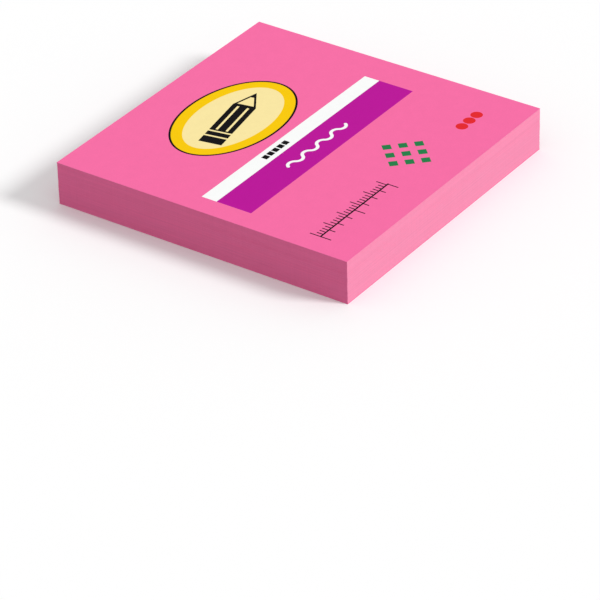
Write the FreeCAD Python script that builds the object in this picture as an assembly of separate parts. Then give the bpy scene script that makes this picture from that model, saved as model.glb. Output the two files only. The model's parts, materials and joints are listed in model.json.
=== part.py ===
# A square pad of sticky notes. A block of note sheets lies on a backing sheet, and a printed cover
# sheet lies on the block. Each sheet sticks to the one below by a strip along one edge, the glued edge.
# The origin is the centre of the pad's underside. X is the reading direction of the print on the
# cover, Y points to the glued edge and Z points up. All sizes are in millimetres.
import FreeCAD, Part
import math
import os
from FreeCAD import Vector

# The sheets
pad_width = 76.0
pad_depth = 76.0
note_count = 90
note_caliper = 0.112
cover_caliper = 0.16
backing_caliper = 0.16

# The fine groove that shows between the cut edges of two notes
groove_height = 0.02
groove_depth = 0.05

# The adhesive strips, under the cover and under the last note
adhesive_caliper = 0.03
adhesive_reach = 19.0
adhesive_setback = 1.0

# The print on the cover, and the bare margins around it
print_depth = 0.03
left_margin = 5.2
right_margin = 8.5
bottom_margin = 7.6

# The white stripe and the purple band below it
stripe_drop = 35.1
stripe_height = 3.9
band_height = 9.0

# The row of small squares on the stripe, and the wavy line on the band
ornament_indent = 20.2
square_size = 1.5
square_pitch = 1.85
square_count = 5
wave_pitch = 5.5
wave_height = 1.5
wave_stroke = 0.75
wave_count = 4

# The oval badge above the stripe
badge_length = 36.6
badge_height = 23.4
badge_offset = -1.6
badge_gap = 2.3
badge_outline_width = 0.5
badge_rim_width = 2.6

# The pencil figure in the badge, with bare ground between its ends and the rim
pencil_clearance = 3.2
pencil_thickness = 5.6
pencil_tilt = 10.0
eraser_length = 2.7
ferrule_length = 1.6
cone_length = 6.4
lead_length = 2.2
pencil_line = 0.55

# The ruler at the lower left, with millimetres above its line and eighths of an inch below
ruler_length = 25.8
ruler_line = 0.4
tick_width = 0.3
long_tick = 2.5
short_tick = 1.4
metric_pitch = 1.0
metric_group = 5
inch_pitch = 25.4 / 8
inch_group = 4

# The green lozenge of small tiles, each standing on a corner
lozenge_inset = 23.8
tile_diagonal = 2.8
tile_step = 2.55
tile_rows = 3

# The row of red dots at the lower right
dot_radius = 1.4
dot_pitch = 3.0
dot_count = 3

# Places that follow from the sizes above
left_edge = -pad_width / 2
right_edge = pad_width / 2
free_edge = -pad_depth / 2
glued_edge = pad_depth / 2
cover_bottom = backing_caliper + note_count * note_caliper
cover_top = cover_bottom + cover_caliper
ink_bottom = cover_top - print_depth
print_left = left_edge + left_margin
print_right = right_edge - right_margin
print_bottom = free_edge + bottom_margin
stripe_top = glued_edge - stripe_drop
band_top = stripe_top - stripe_height
band_bottom = band_top - band_height
ornament_left = print_left + ornament_indent
badge_middle = stripe_top + badge_gap + badge_height / 2
badge_border = badge_outline_width + badge_rim_width
pencil_length = badge_length - 2 * (badge_border + pencil_clearance)
ruler_middle = print_bottom + long_tick + ruler_line / 2


def slab(bottom, thickness, inset=0.0):
    """A sheet of the pad's own outline, or smaller by an inset on all four sides."""
    corner = Vector(left_edge + inset, free_edge + inset, bottom)
    return Part.makeBox(pad_width - 2 * inset, pad_depth - 2 * inset, thickness, corner)


def adhesive_strip(bottom):
    """A strip of adhesive across the pad, set back from the glued edge."""
    corner = Vector(left_edge, glued_edge - adhesive_setback - adhesive_reach, bottom)
    return Part.makeBox(pad_width, adhesive_reach, adhesive_caliper, corner)


def note_block(strip):
    """The notes as one block, grooved all round between their cut edges, with a seat for its strip."""
    layers = [slab(backing_caliper, note_caliper)]
    for number in range(1, note_count):
        bottom = backing_caliper + number * note_caliper
        layers.append(slab(bottom, groove_height, groove_depth))
        layers.append(slab(bottom + groove_height, note_caliper - groove_height))
    return layers[0].multiFuse(layers[1:]).cut(strip)


def ink_point(x, y):
    """A point of a printed figure, at the depth where its ink starts."""
    return Vector(x, y, ink_bottom)


def polygon(corners):
    points = [ink_point(x, y) for x, y in corners]
    return Part.Face(Part.makePolygon(points + points[:1]))


def rectangle(left, bottom, width, height):
    right = left + width
    top = bottom + height
    return polygon([(left, bottom), (right, bottom), (right, top), (left, top)])


def disc(x, y, radius):
    return Part.Face(Part.Wire(Part.makeCircle(radius, ink_point(x, y))))


def arc_through(points):
    return Part.Arc(*[ink_point(x, y) for x, y in points]).toShape()


def joined(figures):
    """Touching or separate flat figures as one."""
    return figures[0].multiFuse(figures[1:]).removeSplitter() if len(figures) > 1 else figures[0]


def stripe_squares():
    bottom = band_top + (stripe_height - square_size) / 2
    lefts = [ornament_left + number * square_pitch for number in range(square_count)]
    return joined([rectangle(left, bottom, square_size, square_size) for left in lefts])


def wavy_line():
    """A stroke that arches above and below the middle of the band in turn, with rounded ends."""
    chord = wave_pitch / 2
    half_angle = 2 * math.atan2(wave_height, chord)
    radius = chord / 2 / math.sin(half_angle)
    half_stroke = wave_stroke / 2
    middle = (band_top + band_bottom) / 2

    def edge(offset):
        """The arcs of the stroke's upper edge, or of its lower one for an offset below 0."""
        arcs = []
        for number in range(2 * wave_count):
            side = 1 if number % 2 == 0 else -1
            reach = radius + side * offset
            x = ornament_left + number * chord + chord / 2
            y = middle - side * radius * math.cos(half_angle)
            angles = (-half_angle, 0, half_angle)
            arcs.append(
                arc_through([(x + reach * math.sin(a), y + side * reach * math.cos(a)) for a in angles])
            )
        return arcs

    def round_end(x, forward):
        """The half circle that closes the stroke at its right end, or its left one for forward -1."""
        across = half_stroke * math.sin(half_angle)
        along = half_stroke * math.cos(half_angle)
        tip = (x + forward * along, middle + forward * across)
        return arc_through([(x - across, middle + along), tip, (x + across, middle - along)])

    right_end = round_end(ornament_left + 2 * wave_count * chord, 1)
    left_end = round_end(ornament_left, -1)
    outline = [*edge(half_stroke), right_end, *reversed(edge(-half_stroke)), left_end]
    return Part.Face(Part.Wire(outline))


def badge_oval(inset):
    """An ellipse at the badge's place, smaller by an inset, whose longer axis may lie either way."""
    centre = ink_point(badge_offset, badge_middle)
    length = badge_length - 2 * inset
    height = badge_height - 2 * inset
    edge = Part.Ellipse(centre, max(length, height) / 2, min(length, height) / 2).toShape()
    if height > length:
        edge.rotate(centre, Vector(0, 0, 1), 90)
    return Part.Face(Part.Wire(edge))


def pencil_figure():
    """A tilted black pencil with light lines for its ferrule and facets, and light bare wood."""
    left = badge_offset - pencil_length / 2
    tip = badge_offset + pencil_length / 2
    half = pencil_thickness / 2
    bottom = badge_middle - half
    top = badge_middle + half
    cone = tip - cone_length
    slope = half / cone_length
    solid = polygon([(left, bottom), (cone, bottom), (tip, badge_middle), (cone, top), (left, top)])

    wood_left = cone + pencil_line
    wood_tip = tip - pencil_line / slope
    wood_half = (wood_tip - wood_left) * slope
    wood_bottom = (wood_left, badge_middle - wood_half)
    wood_top = (wood_left, badge_middle + wood_half)
    wood = polygon([wood_bottom, (wood_tip, badge_middle), wood_top])
    lead = rectangle(tip - lead_length, bottom, lead_length, pencil_thickness)
    ferrule_left = left + eraser_length + pencil_line
    ferrule_right = ferrule_left + ferrule_length
    facet_left = ferrule_right + 2 * pencil_line
    facet_length = cone - pencil_line - facet_left
    light = [
        wood.cut(lead),
        rectangle(ferrule_left - pencil_line, bottom, pencil_line, pencil_thickness),
        rectangle(ferrule_right, bottom, pencil_line, pencil_thickness),
        rectangle(facet_left, badge_middle + half / 3, facet_length, pencil_line),
        rectangle(facet_left, badge_middle - half / 3 - pencil_line, facet_length, pencil_line),
    ]
    figure = solid.cut(light)
    figure.rotate(ink_point(badge_offset, badge_middle), Vector(0, 0, 1), pencil_tilt)
    return figure


def ticks(pitch, group, upward):
    """The ticks on one side of the ruler's line. The first of each group is a long one."""
    count = int((ruler_length - tick_width) / pitch) + 1
    found = []
    for number in range(count):
        reach = ruler_line / 2 + (long_tick if number % group == 0 else short_tick)
        bottom = ruler_middle if upward else ruler_middle - reach
        found.append(rectangle(print_left + number * pitch, bottom, tick_width, reach))
    return found


def ruler_scale():
    line = rectangle(print_left, ruler_middle - ruler_line / 2, ruler_length, ruler_line)
    metric = ticks(metric_pitch, metric_group, True)
    inch = ticks(inch_pitch, inch_group, False)
    return joined([line, *metric, *inch])


def green_lozenge():
    """Small tiles in diagonal rows that make up a larger lozenge."""
    half = tile_diagonal / 2
    steps = tile_rows - 1
    middle_x = print_right - lozenge_inset
    middle_y = print_bottom + half + steps * tile_step
    tiles = []
    for row in range(tile_rows):
        for column in range(tile_rows):
            x = middle_x + (column - row) * tile_step
            y = middle_y + (column + row - steps) * tile_step
            tiles.append(polygon([(x - half, y), (x, y - half), (x + half, y), (x, y + half)]))
    return joined(tiles)


def red_dots():
    centres = [print_right - dot_radius - number * dot_pitch for number in range(dot_count)]
    return joined([disc(x, ruler_middle, dot_radius) for x in centres])


def printed(figures):
    """What shows of each figure on the sheet, where no figure before it is printed."""
    sheet = rectangle(left_edge, free_edge, pad_width, pad_depth)
    shown = {}
    for name, figure in figures.items():
        over = list(shown.values())
        on_sheet = figure.common(sheet)
        shown[name] = on_sheet.cut(over) if over else on_sheet
    return shown


def sunk(figure):
    """The solid of a flat figure's ink, set flush in the cover, or the seat that it needs."""
    return figure.extrude(Vector(0, 0, print_depth))


def cover_sheet(strip, print_seat):
    """The cover, with a shallow seat for the print in its top and for its strip below."""
    return slab(cover_bottom, cover_caliper).cut([strip, print_seat])


print_length = print_right - print_left
figures = printed(
    {
        "stripe_squares": stripe_squares(),
        "wavy_line": wavy_line(),
        "white_stripe": rectangle(print_left, band_top, print_length, stripe_height),
        "purple_band": rectangle(print_left, band_bottom, print_length, band_height),
        "pencil_figure": pencil_figure(),
        "badge_field": badge_oval(badge_border),
        "badge_rim": badge_oval(badge_outline_width),
        "badge_outline": badge_oval(0),
        "red_dots": red_dots(),
        "green_lozenge": green_lozenge(),
        "ruler_scale": ruler_scale(),
    }
)
block_strip = adhesive_strip(backing_caliper)
cover_strip = adhesive_strip(cover_bottom)
nodes = {
    "backing_sheet": slab(0, backing_caliper),
    "block_adhesive_strip": block_strip,
    "note_block": note_block(block_strip),
    "cover_adhesive_strip": cover_strip,
    "cover_sheet": cover_sheet(cover_strip, sunk(joined(list(figures.values())))),
}
nodes.update({name: sunk(figure) for name, figure in figures.items()})

os.makedirs("parts", exist_ok=True)
for name, shape in nodes.items():
    shape.exportStep("parts/" + name + ".step")
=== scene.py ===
import json
import math
import random

import bpy
from mathutils import Matrix, Vector


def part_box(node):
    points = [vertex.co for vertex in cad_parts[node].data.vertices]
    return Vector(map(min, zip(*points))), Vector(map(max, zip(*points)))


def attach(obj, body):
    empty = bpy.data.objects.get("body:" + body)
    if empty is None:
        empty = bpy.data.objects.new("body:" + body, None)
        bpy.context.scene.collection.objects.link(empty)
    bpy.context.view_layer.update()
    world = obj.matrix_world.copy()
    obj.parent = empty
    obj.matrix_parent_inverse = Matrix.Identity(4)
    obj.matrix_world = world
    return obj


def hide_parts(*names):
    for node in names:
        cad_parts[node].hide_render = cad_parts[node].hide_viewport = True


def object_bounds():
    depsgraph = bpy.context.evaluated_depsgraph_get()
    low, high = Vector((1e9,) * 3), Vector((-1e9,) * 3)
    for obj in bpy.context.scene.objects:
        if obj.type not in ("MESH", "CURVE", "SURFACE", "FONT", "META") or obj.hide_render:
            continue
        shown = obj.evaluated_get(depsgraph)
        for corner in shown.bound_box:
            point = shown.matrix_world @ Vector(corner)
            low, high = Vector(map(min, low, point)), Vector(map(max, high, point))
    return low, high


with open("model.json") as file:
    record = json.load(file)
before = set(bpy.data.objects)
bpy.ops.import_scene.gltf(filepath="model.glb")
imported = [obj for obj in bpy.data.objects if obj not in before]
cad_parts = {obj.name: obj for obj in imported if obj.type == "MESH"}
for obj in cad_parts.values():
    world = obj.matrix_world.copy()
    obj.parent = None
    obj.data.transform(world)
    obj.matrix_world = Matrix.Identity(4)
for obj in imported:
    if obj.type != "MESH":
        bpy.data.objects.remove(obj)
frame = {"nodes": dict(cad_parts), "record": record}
cad_low, cad_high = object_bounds()

MM = 0.001
WHITE = (1.0, 1.0, 1.0)

# The corners of a square about the origin, anticlockwise
CORNERS = [(-1, -1), (1, -1), (1, 1), (-1, 1)]

# The photograph's camera: the way from the pad to it, its turn about its own axis, the point of the
# cover's plane in the middle of its view and how far that is, and its lens on a 36 mm sensor
CAMERA_AZIMUTH = math.radians(-54.375)
CAMERA_ELEVATION = math.radians(32.453)
CAMERA_ROLL = math.radians(-1.658)
CAMERA_DISTANCE = 753.0 * MM
VIEW_CENTRE = Vector((-55.25 * MM, -38.15 * MM, cad_high.z))
CAMERA_LENS = 222.18
CAMERA_SENSOR = 36.0

# The light on a white surface, as shares of full white: the sky's on the cover, and the sun's on the
# cover, on the side at the front and on the side at the right
SKY_ON_COVER = 0.66
SUN_ON_COVER = 0.34
SUN_ON_FRONT = 0.45
SUN_ON_RIGHT = 0.17
SUN_WIDTH = math.radians(16)

# The floor: the share of light that it sends back though it looks white, its width, how far it lies
# below the pad, and how far it reaches in under the pad. Further in it is open, so that the pad's
# underside shows from below
FLOOR_BOUNCE = 0.44
FLOOR_SIZE = 12.0
FLOOR_DROP = 0.01 * MM
FLOOR_OVERLAP = 0.6 * MM

# Every finish: the levels of detail in its noises, and how far its roughness varies either way
NOISE_DETAIL = 3.0
ROUGHNESS_SPREAD = 0.08

# Dyed paper: the size and strength of the clouds and flecks in its colour, and how level a surface has
# to be to count as a sheet's face, where the slanted walls of the grooves don't
CLOUD_SIZE = 2.4 * MM
CLOUD_TONE = 0.03
FLECK_SIZE = 0.4 * MM
FLECK_TONE = 0.05
FACE_LEVEL = 0.999

# The pile's cut edges: the share of white in the sides facing along Y, which holds painted sheen that makes
# the lit front side paler, and in the sides facing along X, how much sheets differ, and the size and
# strength of streaks along and knife marks down a side
Y_SIDE_WHITE_WITH_PAINTED_SHEEN = 0.175
X_SIDE_WHITE = 0.04
SHEET_TONE = 0.03
STREAK_SIZE = (18.0 * MM, 18.0 * MM, 0.2 * MM)
STREAK_TONE = 0.07
KNIFE_SIZE = (0.4 * MM, 0.4 * MM, 16.0 * MM)
KNIFE_TONE = 0.03

# The relief of paper: fine grain, and strands lying along and across the sheet
GRAIN_SIZE = 0.19 * MM
STRAND_SIZES = [(1.4 * MM, 0.2 * MM, 0.2 * MM), (0.22 * MM, 1.1 * MM, 0.22 * MM)]
PAPER_RELIEF = 0.01 * MM
PAPER_ROUGHNESS = 0.84
PAPER_SHINE = 0.1

# Ink fills the paper's relief a little, and its film varies
INK_RELIEF = 0.006 * MM
INK_ROUGHNESS = 0.68
INK_SHINE = 0.02
INK_CLOUD_SIZE = 1.6 * MM
INK_CLOUD_TONE = 0.03
PINHOLE_SIZE = 0.14 * MM
PINHOLE_TONE = 0.04

# The adhesive is a thin coat of tiny beads, through which this share of the paper's colour shows
BEAD_SIZE = 0.11 * MM
BEAD_RELIEF = 0.01 * MM
BEAD_TONE = 0.06
ADHESIVE_CLEARNESS = 0.85
ADHESIVE_CLOUD_SIZE = 3.3 * MM
ADHESIVE_CLOUD_TONE = 0.05
ADHESIVE_ROUGHNESS = 0.5
ADHESIVE_SHINE = 0.4

# The pile, as in the solid that it replaces: the count of notes, and the groove between two cut edges
NOTE_COUNT = 90
GROOVE_HEIGHT = 0.02 * MM
GROOVE_DEPTH = 0.05 * MM

# How the notes lie: the seed of the random numbers, how far inside the pad's outline the edges are on
# average, how far and in how many turns the pile drifts to and fro over its height, and how far each
# note shifts and turns by itself
SEED = 7
TRIM = 0.04 * MM
DRIFT = 0.025 * MM
DRIFT_TURNS = (1, 3)
SHIFT = 0.012 * MM
TURN = 0.00025

# The notes' edges: the full height of a long wave in them, the range of its strength as a share of
# that, how many half waves a side holds, and the steps that a side is made of
WAVE_HEIGHT = 0.006 * MM
WAVE_STRENGTHS = (0.4, 1.0)
WAVE_COUNTS = (1, 3, 5)
SIDE_STEPS = 14

# The pile's texture map: a row for each side, and above them a small square for each end
SIDE_ROW = 0.2
ROW_GAP = 0.01


class Graph:
    """A node tree under construction."""

    def __init__(self, tree):
        self.tree = tree
        tree.nodes.clear()

    def add(self, kind, inputs, **settings):
        """Adds a node. Each input is a socket to link, or a value to set."""
        node = self.tree.nodes.new(kind)
        for name, value in settings.items():
            setattr(node, name, value)
        for name, value in inputs.items():
            if isinstance(value, bpy.types.NodeSocket):
                self.tree.links.new(value, node.inputs[name])
            else:
                node.inputs[name].default_value = value
        return node

    def math(self, operation, *values):
        return self.add("ShaderNodeMath", dict(enumerate(values)), operation=operation).outputs[0]

    def split(self, vector):
        return self.add("ShaderNodeSeparateXYZ", {"Vector": vector}).outputs

    def mix(self, share, first, second, blend_type="MIX"):
        """The first colour at share 0, the second one at 1, or their product."""
        inputs = {"Factor": share, "A": first, "B": second}
        node = self.add("ShaderNodeMix", inputs, data_type="RGBA", blend_type=blend_type)
        return node.outputs["Result"]

    def noise(self, place, size):
        """Noise with features of a size, which is one length or a length along each axis."""
        scale = (1 / size,) * 3 if isinstance(size, float) else tuple(1 / length for length in size)
        scaled = self.add("ShaderNodeMapping", {"Vector": place, "Scale": scale}).outputs["Vector"]
        inputs = {"Vector": scaled, "Scale": 1.0, "Detail": NOISE_DETAIL}
        return self.add("ShaderNodeTexNoise", inputs).outputs["Fac"]

    def varied(self, middle, *parts):
        """A number about a middle one. Each part is a noise and how far it moves the number either way."""
        value = middle - sum(amount for noise, amount in parts)
        for noise, amount in parts:
            value = self.math("MULTIPLY_ADD", noise, 2 * amount, value)
        return value

    def toned(self, colour, *parts):
        """A colour made lighter and darker by noises."""
        return self.mix(1.0, colour, self.varied(1.0, *parts), "MULTIPLY")

    def finish(self, colour, relief, relief_height, roughness, shine):
        """The shader, for a colour and a relief that vary and a shine that doesn't."""
        bump = self.add("ShaderNodeBump", {"Height": relief, "Distance": relief_height})
        shader = self.add(
            "ShaderNodeBsdfPrincipled",
            {
                "Base Color": colour,
                "Roughness": roughness,
                "Specular IOR Level": shine,
                "Normal": bump.outputs["Normal"],
            },
        )
        self.add("ShaderNodeOutputMaterial", {"Surface": shader.outputs["BSDF"]})


def rgba(colour):
    return (*colour, 1.0)


def blend(colour, other, share):
    """A colour with a share of another one in it."""
    return tuple(first + share * (second - first) for first, second in zip(colour, other))


def new_material(name):
    material = bpy.data.materials.new(name)
    material.use_nodes = True
    return material, Graph(material.node_tree)


def paper_relief(graph, place):
    """Fine grain with longer strands on it."""
    relief = graph.noise(place, GRAIN_SIZE)
    for size in STRAND_SIZES:
        relief = graph.math("ADD", relief, graph.noise(place, size))
    return relief


def edge_colour(graph, colour, place, normal, pile_bottom, caliper):
    """The colour of the pile's sides, where each sheet has a tone of its own and the sides facing along Y
    are made paler by painted sheen.
    """
    sideways = graph.math("ABSOLUTE", normal["X"])
    # The sides facing along Y get more white than those facing along X. This is painted sheen, which makes
    # the lit front side paler than the shaded left side.
    is_painted_sheen_side = graph.math("GREATER_THAN", graph.math("ABSOLUTE", normal["Y"]), sideways)
    x_side_colour = rgba(blend(colour, WHITE, X_SIDE_WHITE))
    painted_sheen_side_colour = rgba(blend(colour, WHITE, Y_SIDE_WHITE_WITH_PAINTED_SHEEN))
    height = graph.math("SUBTRACT", graph.split(place)["Z"], pile_bottom)
    sheet = graph.math("FLOOR", graph.math("DIVIDE", height, caliper))
    chance = graph.add("ShaderNodeTexWhiteNoise", {"W": sheet}, noise_dimensions="1D").outputs["Value"]
    streaks = graph.noise(place, STREAK_SIZE)
    knife_marks = graph.noise(place, KNIFE_SIZE)
    tones = [(chance, SHEET_TONE), (streaks, STREAK_TONE), (knife_marks, KNIFE_TONE)]
    return graph.toned(graph.mix(is_painted_sheen_side, x_side_colour, painted_sheen_side_colour), *tones)


def paper(colour, pile_bottom, caliper):
    """Dyed paper, with a mottled face and paler cut edges, where the sides facing along Y are paler still
    by painted sheen.
    """
    material, graph = new_material("dyed_paper")
    source = graph.add("ShaderNodeTexCoord", {}).outputs
    place = source["Object"]
    normal = graph.split(source["Normal"])
    clouds = graph.noise(place, CLOUD_SIZE)
    flecks = graph.noise(place, FLECK_SIZE)
    face = graph.toned(rgba(colour), (clouds, CLOUD_TONE), (flecks, FLECK_TONE))
    edge = edge_colour(graph, colour, place, normal, pile_bottom, caliper)
    is_face = graph.math("GREATER_THAN", graph.math("ABSOLUTE", normal["Z"]), FACE_LEVEL)
    graph.finish(
        graph.mix(is_face, edge, face),
        paper_relief(graph, place),
        PAPER_RELIEF,
        graph.varied(PAPER_ROUGHNESS, (flecks, ROUGHNESS_SPREAD)),
        PAPER_SHINE,
    )
    return material


def ink(slot, colour):
    """A film of ink on the paper's relief, with uneven cover and pinholes."""
    material, graph = new_material(slot + "_film")
    place = graph.add("ShaderNodeTexCoord", {}).outputs["Object"]
    clouds = graph.noise(place, INK_CLOUD_SIZE)
    pinholes = graph.noise(place, PINHOLE_SIZE)
    graph.finish(
        graph.toned(rgba(colour), (clouds, INK_CLOUD_TONE), (pinholes, PINHOLE_TONE)),
        paper_relief(graph, place),
        INK_RELIEF,
        graph.varied(INK_ROUGHNESS, (clouds, ROUGHNESS_SPREAD)),
        INK_SHINE,
    )
    return material


def adhesive(colour, paper_colour):
    """A cloudy coat of beads on dyed paper."""
    material, graph = new_material("adhesive_beads")
    place = graph.add("ShaderNodeTexCoord", {}).outputs["Object"]
    beads = graph.add("ShaderNodeTexVoronoi", {"Vector": place, "Scale": 1 / BEAD_SIZE}).outputs["Distance"]
    clouds = graph.noise(place, ADHESIVE_CLOUD_SIZE)
    seen = blend(colour, paper_colour, ADHESIVE_CLEARNESS)
    graph.finish(
        graph.toned(rgba(seen), (clouds, ADHESIVE_CLOUD_TONE), (beads, BEAD_TONE)),
        beads,
        BEAD_RELIEF,
        graph.varied(ADHESIVE_ROUGHNESS, (clouds, ROUGHNESS_SPREAD)),
        ADHESIVE_SHINE,
    )
    return material


def edge_strays(chance):
    """How far a cut edge strays outwards at each step along one side."""
    waves = []
    for count in WAVE_COUNTS:
        waves.append((count, chance.uniform(0, 2 * math.pi), chance.uniform(*WAVE_STRENGTHS)))
    strays = []
    for step in range(SIDE_STEPS):
        x_side_colour = math.pi * step / SIDE_STEPS
        total = sum(strength * math.sin(count * x_side_colour + start) for count, start, strength in waves)
        strays.append(WAVE_HEIGHT * total)
    return strays


def note_outline(chance, half_width, half_depth, drift):
    """One note's outline, anticlockwise from the corner at the lowest X and Y."""
    shift = [x_side_colour + chance.gauss(0, SHIFT) for x_side_colour in drift]
    turn = chance.gauss(0, TURN)
    outline = []
    for side, (start_x, start_y) in enumerate(CORNERS):
        end_x, end_y = CORNERS[(side + 1) % len(CORNERS)]
        for step, stray in enumerate(edge_strays(chance)):
            share = step / SIDE_STEPS
            x = half_width * (start_x + share * (end_x - start_x)) + stray * (end_y - start_y) / 2
            y = half_depth * (start_y + share * (end_y - start_y)) - stray * (end_x - start_x) / 2
            outline.append((x - turn * y + shift[0], y + turn * x + shift[1]))
    return outline


def drift_at(climb, starts):
    """How far the pile has drifted along X and Y at a height, which is given as an angle."""
    drift = [0.0, 0.0]
    for turns, start in zip(DRIFT_TURNS, starts):
        for axis, angle in enumerate(start):
            drift[axis] += DRIFT / turns * math.sin(turns * climb + angle)
    return drift


def pile_outlines(half_width, half_depth):
    """The outlines of all notes from the bottom up, which drift to and fro a little."""
    chance = random.Random(SEED)
    starts = [[chance.uniform(0, 2 * math.pi) for axis in range(2)] for turns in DRIFT_TURNS]
    outlines = []
    for number in range(NOTE_COUNT):
        drift = drift_at(2 * math.pi * number / NOTE_COUNT, starts)
        outlines.append(note_outline(chance, half_width, half_depth, drift))
    return outlines


def groove_outline(below, above, half_width, half_depth):
    """The bottom of the groove between two notes, midway between their outlines and further in."""
    scale_x = (1 - GROOVE_DEPTH / half_width) / 2
    scale_y = (1 - GROOVE_DEPTH / half_depth) / 2
    return [((a[0] + b[0]) * scale_x, (a[1] + b[1]) * scale_y) for a, b in zip(below, above)]


def pile_rings(low, high):
    """The rings of points up the side of the pile, each at one height."""
    half_width = (high.x - low.x) / 2 - TRIM
    half_depth = (high.y - low.y) / 2 - TRIM
    caliper = (high.z - low.z) / NOTE_COUNT
    outlines = pile_outlines(half_width, half_depth)
    rings = []
    for number, outline in enumerate(outlines):
        bottom = low.z + number * caliper
        below = outlines[max(number - 1, 0)]
        rings.append((groove_outline(below, outline, half_width, half_depth), bottom))
        rings.append((outline, bottom + GROOVE_HEIGHT / 2))
        rings.append((outline, bottom + caliper - GROOVE_HEIGHT / 2))
    rings.append((groove_outline(outlines[-1], outlines[-1], half_width, half_depth), high.z))
    return [[(x, y, z) for x, y in outline] for outline, z in rings]


def side_place(side, share, height_share):
    """A place on the texture map's row for one side."""
    row = SIDE_ROW - ROW_GAP
    return share, side * SIDE_ROW + row * height_share


def end_place(point, end, high):
    """A place in the texture map's square for the pile's bottom, end 0, or its top, end 1."""
    square = SIDE_ROW / 2
    painted_sheen_side_colour = (point[0] / high.x + 1) * square / 2
    up = (point[1] / high.y + 1) * square / 2
    return painted_sheen_side_colour + end * SIDE_ROW, up + len(CORNERS) * SIDE_ROW


def side_places(height_shares, count):
    """The texture map's places for the corners of all faces between the rings."""
    places = []
    for low_share, high_share in zip(height_shares, height_shares[1:]):
        for point in range(count):
            side, step = divmod(point, SIDE_STEPS)
            start, end = step / SIDE_STEPS, (step + 1) / SIDE_STEPS
            places += [side_place(side, share, low_share) for share in (start, end)]
            places += [side_place(side, share, high_share) for share in (end, start)]
    return places


def faces_between(ring_count, count):
    """The faces between rings of points that all have the same count of points."""
    faces = []
    for first in range(0, (ring_count - 1) * count, count):
        for point in range(count):
            after = (point + 1) % count
            faces.append((first + point, first + after, first + count + after, first + count + point))
    return faces


def note_pile(low, high):
    """All the notes as one closed skin, with its own texture map."""
    rings = pile_rings(low, high)
    points = [point for ring in rings for point in ring]
    count = len(rings[0])
    bottom = tuple(reversed(range(count)))
    top = tuple(range(len(points) - count, len(points)))
    height_shares = [(ring[0][2] - low.z) / (high.z - low.z) for ring in rings]
    places = [end_place(points[point], 0, high) for point in bottom]
    places += side_places(height_shares, count)
    places += [end_place(points[point], 1, high) for point in top]

    mesh = bpy.data.meshes.new("note_sheets")
    mesh.from_pydata(points, [], [bottom, *faces_between(len(rings), count), top])
    layer = mesh.uv_layers.new(name="OFBake")
    layer.uv.foreach_set("vector", [number for place in places for number in place])
    return bpy.data.objects.new("note_sheets", mesh)


def dress(node, material):
    """Gives a CAD node its finished material."""
    materials = frame["nodes"][node].data.materials
    materials.clear()
    materials.append(material)


def seen_directly(graph):
    """1 for a ray from the camera, off a gloss or through a clear material, and 0 for other light."""
    ray = graph.add("ShaderNodeLightPath", {}).outputs
    either = graph.math("MAXIMUM", ray["Is Glossy Ray"], ray["Is Transmission Ray"])
    return graph.math("MAXIMUM", ray["Is Camera Ray"], either)


def floor_mesh():
    """A level square with an opening under the object."""
    half = FLOOR_SIZE / 2
    open_x = cad_high.x - FLOOR_OVERLAP
    open_y = cad_high.y - FLOOR_OVERLAP
    outer = [(half * x, half * y, -FLOOR_DROP) for x, y in CORNERS]
    inner = [(open_x * x, open_y * y, -FLOOR_DROP) for x, y in CORNERS]
    mesh = bpy.data.meshes.new("floor")
    mesh.from_pydata(outer + inner, [], faces_between(2, len(CORNERS)))
    return mesh


def add_floor():
    """A floor that looks white, with the object's shadow on it."""
    floor = bpy.data.objects.new("floor", floor_mesh())
    bpy.context.scene.collection.objects.link(floor)
    material, graph = new_material("floor_white")
    colour = graph.mix(seen_directly(graph), rgba((FLOOR_BOUNCE,) * 3), rgba(WHITE))
    shader = graph.add("ShaderNodeBsdfDiffuse", {"Color": colour})
    graph.add("ShaderNodeOutputMaterial", {"Surface": shader.outputs["BSDF"]})
    floor.data.materials.append(material)


def add_sky():
    """An even sky that is white to look at."""
    world = bpy.data.worlds.new("studio")
    world.use_nodes = True
    graph = Graph(world.node_tree)
    colour = graph.mix(seen_directly(graph), rgba((SKY_ON_COVER,) * 3), rgba(WHITE))
    sky = graph.add("ShaderNodeBackground", {"Color": colour})
    graph.add("ShaderNodeOutputWorld", {"Surface": sky.outputs["Background"]})
    bpy.context.scene.world = world


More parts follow.
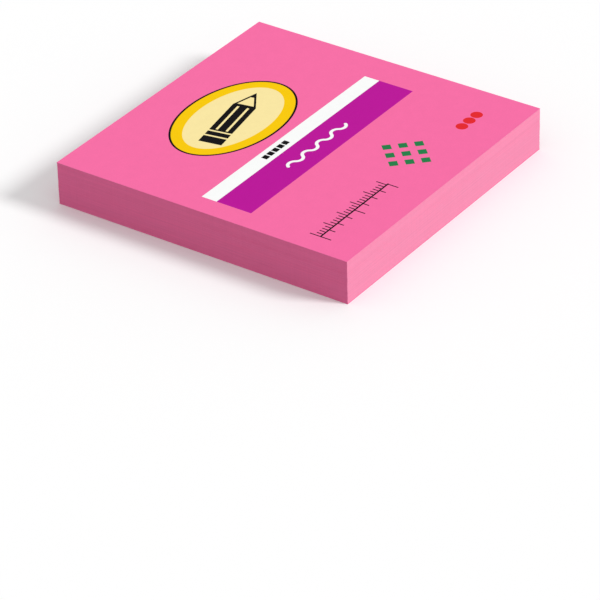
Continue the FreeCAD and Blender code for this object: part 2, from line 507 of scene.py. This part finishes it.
def add_sun():
    """A wide sun at the front right."""
    towards = Vector((SUN_ON_RIGHT, -SUN_ON_FRONT, SUN_ON_COVER))
    lamp = bpy.data.lights.new("sun", "SUN")
    lamp.energy = math.pi * towards.length
    lamp.angle = SUN_WIDTH
    sun = bpy.data.objects.new("sun", lamp)
    sun.rotation_euler = towards.to_track_quat("Z", "Y").to_euler()
    bpy.context.scene.collection.objects.link(sun)


def add_camera():
    """The camera at the photograph's place."""
    level_back = Vector((math.sin(CAMERA_AZIMUTH), -math.cos(CAMERA_AZIMUTH), 0))
    back = math.cos(CAMERA_ELEVATION) * level_back + Vector((0, 0, math.sin(CAMERA_ELEVATION)))
    right = Vector((math.cos(CAMERA_AZIMUTH), math.sin(CAMERA_AZIMUTH), 0))
    axes = Matrix((right, back.cross(right), back)).transposed().to_4x4()
    data = bpy.data.cameras.new("camera")
    data.lens = CAMERA_LENS
    data.sensor_width = CAMERA_SENSOR
    camera = bpy.data.objects.new("camera", data)
    place = Matrix.Translation(VIEW_CENTRE + CAMERA_DISTANCE * back)
    camera.matrix_world = place @ axes @ Matrix.Rotation(CAMERA_ROLL, 4, "Z")
    bpy.context.scene.collection.objects.link(camera)
    bpy.context.scene.camera = camera


def make_materials(pile_low, pile_high):
    """A finished material for each of the record's material slots."""
    colours = {entry["slot"]: entry["base_color"] for entry in frame["record"]["materials"]}
    pink = colours.pop("pink_paper")
    caliper = (pile_high.z - pile_low.z) / NOTE_COUNT
    return {
        "pink_paper": paper(pink, pile_low.z, caliper),
        "adhesive": adhesive(colours.pop("adhesive"), pink),
        **{slot: ink(slot, colour) for slot, colour in colours.items()},
    }


bpy.context.scene.view_settings.view_transform = "Standard"
add_camera()
add_sky()
add_sun()
add_floor()

block_low, block_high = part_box("note_block")
materials = make_materials(block_low, block_high)
for subpart in frame["record"]["subparts"]:
    dress(subpart["node"], materials[subpart["material_slot"]])

sheets = note_pile(block_low, block_high)
sheets.data.materials.append(materials["pink_paper"])
bpy.context.scene.collection.objects.link(sheets)
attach(sheets, "root")
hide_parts("note_block")
